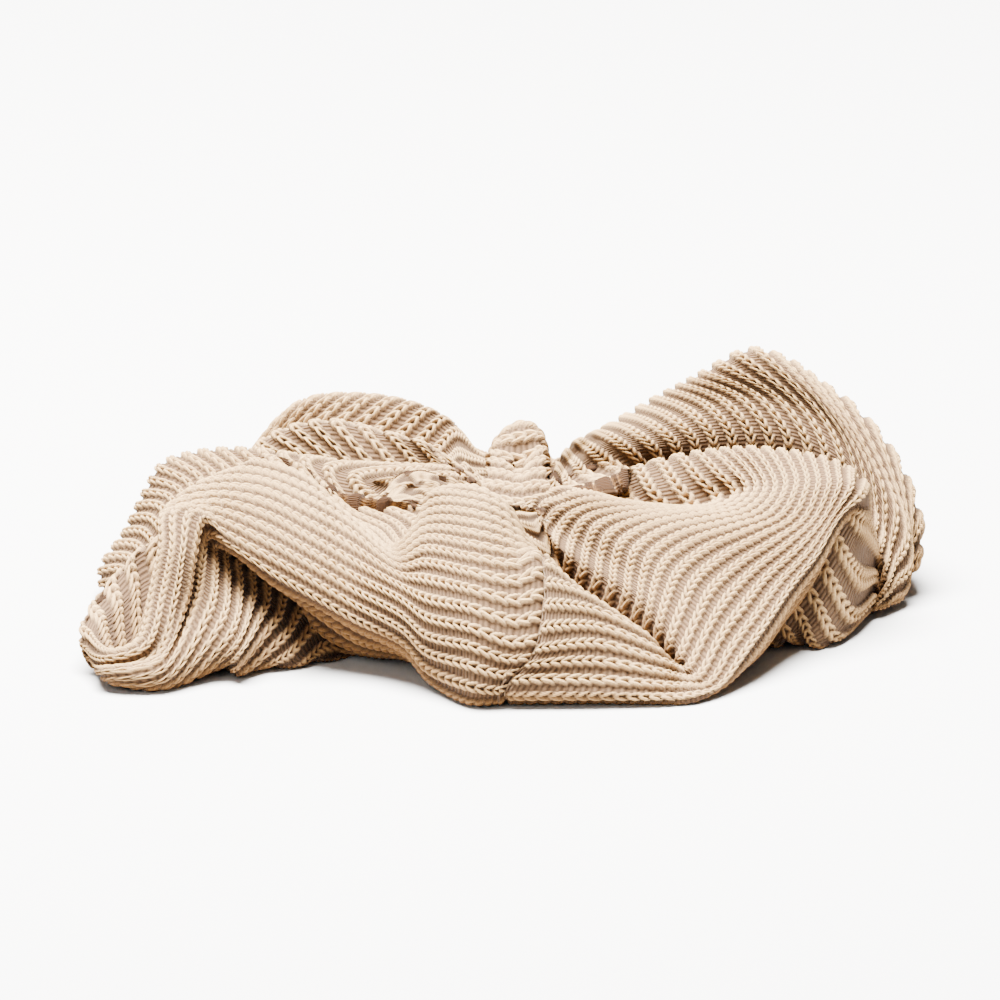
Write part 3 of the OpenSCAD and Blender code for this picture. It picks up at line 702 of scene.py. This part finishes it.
# ---------------------------------------------------------------- the pieces
# Each fold of the cover: its name, the line in ACROSS that it starts at and the CAD nodes it stands for.
FOLDS = [
    ("front_panel_right", 0, ["cover_front_panel_right", "cover_front_gather"]),
    ("front_right_fold", 3, ["cover_front_right_fold"]),
    ("front_right_side", 9, ["cover_front_right_side"]),
    ("back_right_side", 13, ["cover_back_right_side"]),
    ("back_right_fold", 16, ["cover_back_right_fold", "cover_back_gather"]),
    ("back_roll", 24, ["cover_back_roll"]),
    ("back_left_fold", 31, ["cover_back_left_fold"]),
    ("back_left_side", 37, ["cover_back_left_side"]),
    ("front_left_side", 41, ["cover_front_left_side"]),
    ("front_left_scoop", 43, ["cover_front_left_scoop"]),
    ("front_panel_left", 48, ["cover_front_panel_left"]),
]
# a fold with more faces than this is made in several pieces
MOST_FACES = 95000


def dress(obj, slot, *nodes):
    """Bakes the piece's placing into its mesh and hides the CAD nodes that it stands for."""
    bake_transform(obj)
    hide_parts(*nodes)


def cover_piece(name, cover, first, last, material):
    """The rows of the cover from first to last; past the end of the grid they go on at its start."""
    at = np.arange(first, last + 1)
    index = at % len(cover["place"])
    past_end = np.where(at >= len(cover["place"]), cover["stitches"], 0)
    uv = (cover["along"][index] + past_end[:, None], cover["across"][index])
    values = {key: cover[key][index] for key in ("knit_height", "open_sky")}
    return new_object(name, grid_mesh(name, cover["place"][index], uv, values), material)


def build_cover(cover):
    """The folds, each in as many pieces as its faces need, declared as lengths of one gathered cloth."""
    columns = cover["place"].shape[1]
    stitches, line_place = cover["stitches"], cover["line_place"]
    material = knit_material()
    starts = [round(line_place[line] / line_place[-1] * stitches) for _, line, _ in FOLDS] + [stitches]
    for (name, _, nodes), first, last in zip(FOLDS, starts, starts[1:]):
        parts = math.ceil((last - first) * ROWS_PER_STITCH * columns / MOST_FACES)
        cuts = [(first + round(k * (last - first) / parts)) * ROWS_PER_STITCH for k in range(parts + 1)]
        for k in range(parts):
            piece = cover_piece(f"{name}_{k + 1}", cover, cuts[k], cuts[k + 1], material)
            dress(piece, "rib_knit", *nodes)


def tube(name, path, radius, material, closed=False, sides=8):
    """A thread of round section along path, in millimetres."""
    if closed:
        tangent = np.roll(path, -1, 0) - np.roll(path, 1, 0)
    else:
        tangent = np.gradient(path, axis=0)
    tangent /= np.linalg.norm(tangent, axis=1, keepdims=True)
    side = np.cross(tangent, [0.31, 0.17, 0.94])
    side /= np.linalg.norm(side, axis=1, keepdims=True)
    other = np.cross(tangent, side)
    turn = 2 * math.pi * np.arange(sides) / sides
    points = (path[:, None] + radius * (np.cos(turn)[None, :, None] * side[:, None]
                                        + np.sin(turn)[None, :, None] * other[:, None]))
    if closed:
        points = np.concatenate([points, points[:1]])
    return solid(name, points, material)


def solid(name, points, material):
    """A closed piece over a grid of sections, capped at both ends."""
    rows, columns = points.shape[:2]
    run = np.concatenate([[0], np.cumsum(np.linalg.norm(np.diff(points[:, 0], axis=0), axis=1))])
    u = run[:, None].repeat(columns, 1)
    v = (np.arange(columns) / columns)[None, :].repeat(rows, 0)
    mesh = grid_mesh(name, points, (u, v), {})
    bm = bmesh.new()
    bm.from_mesh(mesh)
    bmesh.ops.holes_fill(bm, edges=[e for e in bm.edges if e.is_boundary])
    bmesh.ops.recalc_face_normals(bm, faces=bm.faces)
    bm.to_mesh(mesh)
    bm.free()
    return new_object(name, mesh, material)


def band(name, node, inner, start, end, material):
    """A length of the flat braided elastic, as high as its CAD node, between two directions in degrees."""
    low, high = (c[2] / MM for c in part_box(node))
    z = np.linspace(low + BAND_EDGE, high - BAND_EDGE, BAND_FACES)
    angles = np.radians(np.linspace(start, end, max(8, int((end - start) * 1.1))))
    cord = (z - low) / (high - low) * ELASTIC_CORDS
    lean = np.where(cord.astype(int) % 2, 1, -1)[None, :]
    phase = 2 * math.pi * (cord[None, :] + lean * angles[:, None] * inner / BRAID_PITCH)
    swell = CORD_SWELL * np.abs(np.sin(math.pi * cord))[None, :] + BRAID_SWELL * np.sin(phase)
    outer_r = inner + ELASTIC_THICK - BAND_INSET + swell
    inner_r = inner + BAND_INSET - swell
    r = np.concatenate([outer_r, inner_r[:, ::-1]], axis=1)
    z = np.concatenate([z, z[::-1]])[None, :].repeat(len(angles), 0)
    points = np.stack([HUB_X + r * np.cos(angles)[:, None], HUB_Y + r * np.sin(angles)[:, None], z], axis=-1)
    return solid(name, points, material)


def build_elastic():
    """The ring of flat elastic in two halves, with its overlapped end outside the front one."""
    material = plain_material("elastic_band", ELASTIC_COLOUR, 0.7, 0.0005)
    low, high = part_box("elastic_front")
    inner = (high[0] - low[0]) / MM / 2 - ELASTIC_THICK
    lap_low, lap_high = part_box("elastic_lap")
    half = math.degrees(math.asin((lap_high[0] - lap_low[0]) / MM / 2 / (inner + 1.5 * ELASTIC_THICK)))
    outer = inner + ELASTIC_THICK + LAP_GAP
    lengths = (("elastic_front_band", "elastic_front", inner, 180, 360),
               ("elastic_back_band", "elastic_back", inner, 0, 180),
               ("elastic_lap_end", "elastic_lap", outer, SEAM_ANGLE - half, SEAM_ANGLE + half))
    for name, node, r, start, end in lengths:
        dress(band(name, node, r, start, end, material), "elastic_band", node)


def build_closing_thread(seam_path, material):
    """Whip stitches to and fro across the closing seam, all the way round the tube."""
    run = np.concatenate([[0], np.cumsum(np.linalg.norm(np.diff(seam_path, axis=0), axis=1))])
    steps = int(run[-1] / SEAM_STEP)
    even = np.linspace(0, run[-1], steps, endpoint=False)
    path = np.stack([np.interp(even, run, seam_path[:, k]) for k in range(3)], axis=1)
    stitches = round(run[-1] / SEAM_WHIP_PITCH)
    path[:, 0] += SEAM_WHIP * np.sin(2 * math.pi * stitches * np.arange(steps) / steps)
    path[:, 2] = np.maximum(path[:, 2], SEAM_LOWEST)
    thread = tube("closing_seam_thread", path, SEAM_THREAD_R, material, closed=True)
    dress(thread, "sewing_thread", "closing_seam")


def build_side_seam(side, start, material):
    """Half of the lengthwise seam inside the hub: its turned edge, and the thread that wraps it."""
    node = f"side_seam_{side}"
    low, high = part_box(node)
    height = (high[2] - low[2]) / MM
    r = (high[0] - low[0]) / MM / 2 - height / 2
    middle = (high[2] + low[2]) / MM / 2
    wrap = height / 2 - SIDE_INSET
    angle = np.radians(np.linspace(start, start + 180, SIDE_STEPS))
    helix = 2 * math.pi * SIDE_STITCHES * (angle - angle[0]) / math.pi
    around = r + wrap * np.cos(helix)
    path = np.stack([HUB_X + around * np.cos(angle), HUB_Y + around * np.sin(angle),
                     middle + wrap * np.sin(helix)], axis=1)
    dress(tube(f"{node}_thread", path, SIDE_THREAD_R, material), "sewing_thread", node)
    level = np.full_like(angle, middle)
    core = np.stack([HUB_X + r * np.cos(angle), HUB_Y + r * np.sin(angle), level], axis=1)
    dress(tube(f"{node}_edge", core[::6], wrap - EDGE_INSET, material, sides=12), "rib_knit", node)


def build_tack(material):
    """The bar of zigzag stitches that holds the overlapped ends of the elastic."""
    low, high = (Vector(c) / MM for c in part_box("elastic_tack"))
    out = Vector((math.cos(math.radians(SEAM_ANGLE)), math.sin(math.radians(SEAM_ANGLE)), 0))
    across = Vector((-out.y, out.x, 0))
    centre = (low + high) / 2
    path = []
    for k in range(TACK_STEPS):
        swing = math.sin(2 * math.pi * TACK_STITCHES * k / (TACK_STEPS - 1))
        at = centre + across * (TACK_WIDTH / 2 - TACK_INSET) * swing - out * TACK_SINK
        at.z = low.z + TACK_INSET + (high.z - low.z - 2 * TACK_INSET) * k / (TACK_STEPS - 1)
        path.append(at)
    thread = tube("elastic_tack_thread", np.array(path), TACK_THREAD_R, material)
    dress(thread, "sewing_thread", "elastic_tack")


def build_threads(seam_path):
    """All the sewing: the closing seam, the lengthwise seam and the tack."""
    material = plain_material("sewing_thread", SHADED_THREAD_COLOUR, 0.6, 0.0003)
    build_closing_thread(seam_path, material)
    build_side_seam("front", 180, material)
    build_side_seam("back", 0, material)
    build_tack(material)


def build_stage():
    """The floor."""
    mesh = bpy.data.meshes.new("floor")
    bm = bmesh.new()
    bmesh.ops.create_grid(bm, x_segments=2, y_segments=2, size=3)
    bm.to_mesh(mesh)
    bm.free()
    new_object("floor", mesh, floor_material())


def aim(obj, target):
    obj.rotation_euler = (Vector(target) - obj.location).to_track_quat("-Z", "Y").to_euler()


def area_light(name, place, target, size, power, colour):
    data = bpy.data.lights.new(name, "AREA")
    data.shape = "DISK"
    data.size, data.energy, data.color = size, power, colour
    obj = bpy.data.objects.new(name, data)
    obj.location = place
    bpy.context.scene.collection.objects.link(obj)
    aim(obj, target)


def build_camera():
    """A long lens from low in front, as in the photograph."""
    data = bpy.data.cameras.new("camera")
    camera = bpy.data.objects.new("camera", data)
    bpy.context.scene.collection.objects.link(camera)
    elevation, distance, view_width = math.radians(16), 8.0, 0.1908
    target = Vector((-0.0006, 0, 0.0204))
    camera.location = target + distance * Vector((0, -math.cos(elevation), math.sin(elevation)))
    aim(camera, target)
    data.sensor_width = 36
    data.lens = data.sensor_width * distance / view_width
    data.clip_start, data.clip_end = 0.05, 20
    bpy.context.scene.camera = camera


def build_light():
    """One broad soft light above, a weak one in front, and a dim surround."""
    world = bpy.data.worlds.new("studio")
    bpy.context.scene.world = world
    world.use_nodes = True
    background = world.node_tree.nodes["Background"]
    background.inputs["Color"].default_value = (1, 0.99, 0.97, 1)
    background.inputs["Strength"].default_value = 0.15
    centre = (0, 0, 0.02)
    area_light("top", (-0.15, 0.1, 1.0), centre, 0.9, 212, (1, 0.985, 0.96))
    area_light("front", (-0.5, -0.9, 0.6), centre, 0.7, 5, (1, 0.98, 0.95))


build_camera()
build_light()
build_stage()
cover = cover_grids()
build_cover(cover)
build_threads(cover["seam_path"])
build_elastic()
